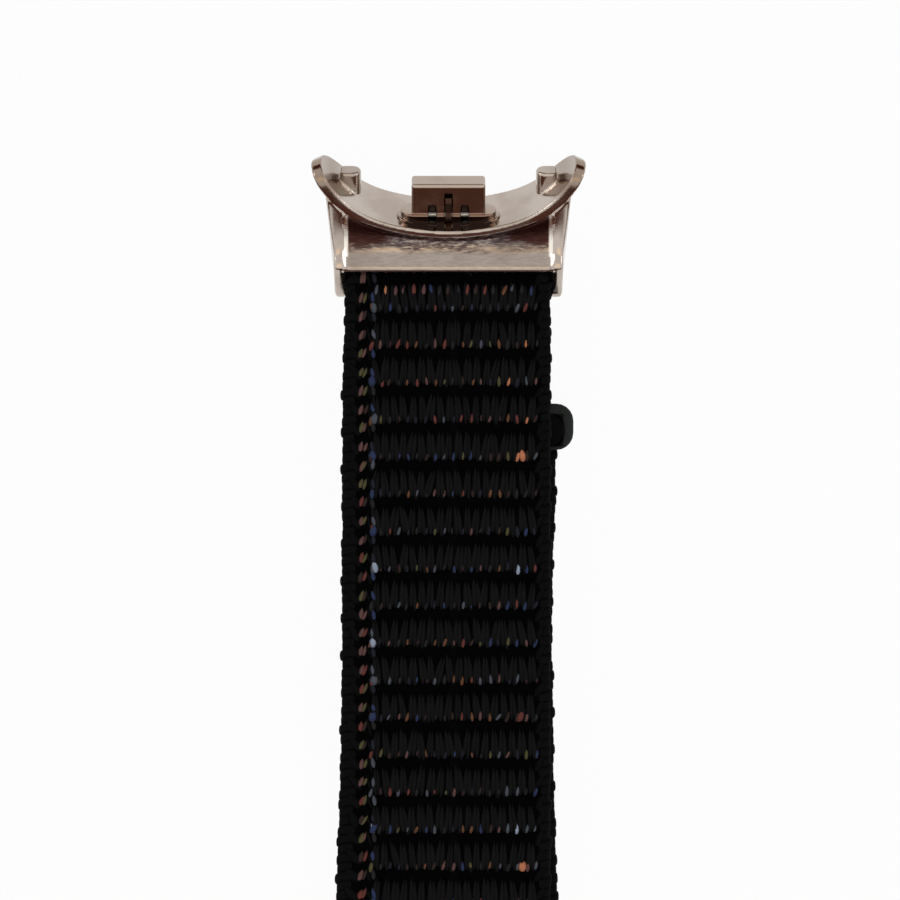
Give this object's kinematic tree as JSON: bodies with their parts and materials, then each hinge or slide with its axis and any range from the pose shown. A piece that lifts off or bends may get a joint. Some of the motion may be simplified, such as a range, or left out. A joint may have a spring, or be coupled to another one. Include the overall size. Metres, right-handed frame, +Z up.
{
  "type": "hook and loop watch strap",
  "caption": "Ribbed woven watch strap with a hook-and-loop tail and moulded end tab, pivoting on curved metal case connectors with sprung latches",
  "frame": {"origin": "Centre of the strap's footprint, on the surface that it lies on", "axes": "+X across the strap, +Y along it towards connector A, +Z up out of the skin side"},
  "size_m": [0.0272, 0.136, 0.0107],
  "materials": {
    "casting": "polished warm nickel plating on a cast zinc body",
    "tongue": "polished warm nickel plating",
    "latch_steel": "fine ground steel",
    "pin_steel": "ground steel",
    "button": "satin nickel plating",
    "cover": "satin nickel plating",
    "spring": "drawn spring wire",
    "bar_steel": "polished steel",
    "webbing": "near-black woven nylon with raised ribs and small coloured flecks",
    "tab": "matt dark grey moulding",
    "hook_tape": "black moulded hooks on woven tape",
    "thread": "black sewing thread"
  },
  "bodies": {
    "connector_a": {"connector_body_a": "casting", "case_tongue_a": "tongue", "latch_pin_a": "pin_steel", "button_cover_a": "cover", "return_spring_left_a": "spring", "return_spring_right_a": "spring", "strap_bar_a": "bar_steel"},
    "connector_b": {"connector_body_b": "casting", "case_tongue_b": "tongue", "latch_pin_b": "pin_steel", "button_cover_b": "cover", "return_spring_left_b": "spring", "return_spring_right_b": "spring", "strap_bar_b": "bar_steel"},
    "strap_length_1": {"strap_1": "webbing", "stitch_row_1": "thread", "stitch_row_2": "thread"},
    "strap_length_2": {"strap_2": "webbing"},
    "strap_length_3": {"strap_3": "webbing"},
    "strap_length_4": {"strap_4": "webbing"},
    "strap_length_5": {"strap_5": "webbing"},
    "strap_length_6": {"strap_6": "webbing"},
    "strap_length_7": {"strap_7": "webbing"},
    "tail_length_1": {"tail_1": "webbing"},
    "tail_length_2": {"tail_2": "webbing"},
    "tail_length_3": {"tail_3": "webbing"},
    "tail_length_4": {"tail_4": "webbing"},
    "tail_length_5": {"tail_5": "webbing", "hook_pad_2": "hook_tape"},
    "tail_length_6": {"tail_6": "webbing", "hook_pad_1": "hook_tape", "end_tab": "tab"},
    "button_a": {"release_button_a": "button"},
    "lever_a": {"latch_lever_a": "latch_steel"},
    "button_b": {"release_button_b": "button"},
    "lever_b": {"latch_lever_b": "latch_steel"}
  },
  "joints": [
    {"name": "strap_pivot_a", "type": "hinge", "parent": "connector_a", "child": "strap_length_1", "pos_m": [0, 0.056, 0.003], "axis": [-1, 0, 0], "range_deg": [-25, 36]},
    {"name": "wrist_curl_1", "type": "hinge", "parent": "strap_length_1", "child": "strap_length_2", "pos_m": [0, 0.04519, 0.0039], "axis": [-1, 0, 0], "range_deg": [-6, 37]},
    {"name": "wrist_curl_2", "type": "hinge", "parent": "strap_length_2", "child": "strap_length_3", "pos_m": [0, 0.02689, 0.0039], "axis": [-1, 0, 0], "range_deg": [-6, 37]},
    {"name": "wrist_curl_3", "type": "hinge", "parent": "strap_length_3", "child": "strap_length_4", "pos_m": [0, 0.00859, 0.0039], "axis": [-1, 0, 0], "range_deg": [-6, 37]},
    {"name": "wrist_curl_4", "type": "hinge", "parent": "strap_length_4", "child": "strap_length_5", "pos_m": [0, -0.00971, 0.0039], "axis": [-1, 0, 0], "range_deg": [-6, 37]},
    {"name": "wrist_curl_5", "type": "hinge", "parent": "strap_length_5", "child": "strap_length_6", "pos_m": [0, -0.02801, 0.0039], "axis": [-1, 0, 0], "range_deg": [-6, 37]},
    {"name": "wrist_curl", "type": "hinge", "parent": "strap_length_6", "child": "strap_length_7", "pos_m": [0, -0.04631, 0.0039], "axis": [-1, 0, 0], "range_deg": [-6, 37], "stiffness_Nm_per_rad": 0.002},
    {"name": "strap_pivot_b", "type": "hinge", "parent": "strap_length_7", "child": "connector_b", "pos_m": [0, -0.056, 0.003], "axis": [-1, 0, 0], "range_deg": [-25, 36]},
    {"name": "tail_peel", "type": "hinge", "parent": "strap_length_7", "child": "tail_length_1", "pos_m": [0, -0.0543, 0.0003], "axis": [-1, 0, 0], "range_deg": [0, 135]},
    {"name": "tail_curl_1", "type": "hinge", "parent": "tail_length_1", "child": "tail_length_2", "pos_m": [0, -0.04631, 0.0039], "axis": [1, 0, 0], "range_deg": [-6, 37]},
    {"name": "tail_curl_2", "type": "hinge", "parent": "tail_length_2", "child": "tail_length_3", "pos_m": [0, -0.02801, 0.0039], "axis": [1, 0, 0], "range_deg": [-6, 37]},
    {"name": "tail_curl_3", "type": "hinge", "parent": "tail_length_3", "child": "tail_length_4", "pos_m": [0, -0.00971, 0.0039], "axis": [1, 0, 0], "range_deg": [-6, 37]},
    {"name": "tail_curl_4", "type": "hinge", "parent": "tail_length_4", "child": "tail_length_5", "pos_m": [0, 0.00859, 0.0039], "axis": [1, 0, 0], "range_deg": [-6, 37]},
    {"name": "tail_curl_5", "type": "hinge", "parent": "tail_length_5", "child": "tail_length_6", "pos_m": [0, 0.02689, 0.0039], "axis": [1, 0, 0], "range_deg": [-6, 37]},
    {"name": "button_press_a", "type": "slide", "parent": "connector_a", "child": "button_a", "axis": [0, 0, 1], "range_m": [0, 0.0004], "stiffness_N_per_m": 1200, "springref_m": -0.0003, "deforming": ["return_spring_left_a", "return_spring_right_a"]},
    {"name": "latch_swing_a", "type": "hinge", "parent": "connector_a", "child": "lever_a", "pos_m": [0, 0.06247, 0.00589], "axis": [-1, 0, 0], "range_deg": [0, 11.8]},
    {"name": "button_press_b", "type": "slide", "parent": "connector_b", "child": "button_b", "axis": [0, 0, 1], "range_m": [0, 0.0004], "stiffness_N_per_m": 1200, "springref_m": -0.0003, "deforming": ["return_spring_left_b", "return_spring_right_b"]},
    {"name": "latch_swing_b", "type": "hinge", "parent": "connector_b", "child": "lever_b", "pos_m": [0, -0.06247, 0.00589], "axis": [1, 0, 0], "range_deg": [0, 11.8]}
  ],
  "couplings": [
    {"joint": "wrist_curl_1", "follows": "wrist_curl", "ratio": 1},
    {"joint": "wrist_curl_2", "follows": "wrist_curl", "ratio": 1},
    {"joint": "wrist_curl_3", "follows": "wrist_curl", "ratio": 1},
    {"joint": "wrist_curl_4", "follows": "wrist_curl", "ratio": 1},
    {"joint": "wrist_curl_5", "follows": "wrist_curl", "ratio": 1},
    {"joint": "tail_curl_1", "follows": "wrist_curl", "ratio": 1},
    {"joint": "tail_curl_2", "follows": "wrist_curl", "ratio": 1},
    {"joint": "tail_curl_3", "follows": "wrist_curl", "ratio": 1},
    {"joint": "tail_curl_4", "follows": "wrist_curl", "ratio": 1},
    {"joint": "tail_curl_5", "follows": "wrist_curl", "ratio": 1},
    {"joint": "latch_swing_a", "follows": "button_press_a", "rad_per_m": 512.5},
    {"joint": "latch_swing_b", "follows": "button_press_b", "rad_per_m": 512.5}
  ]
}
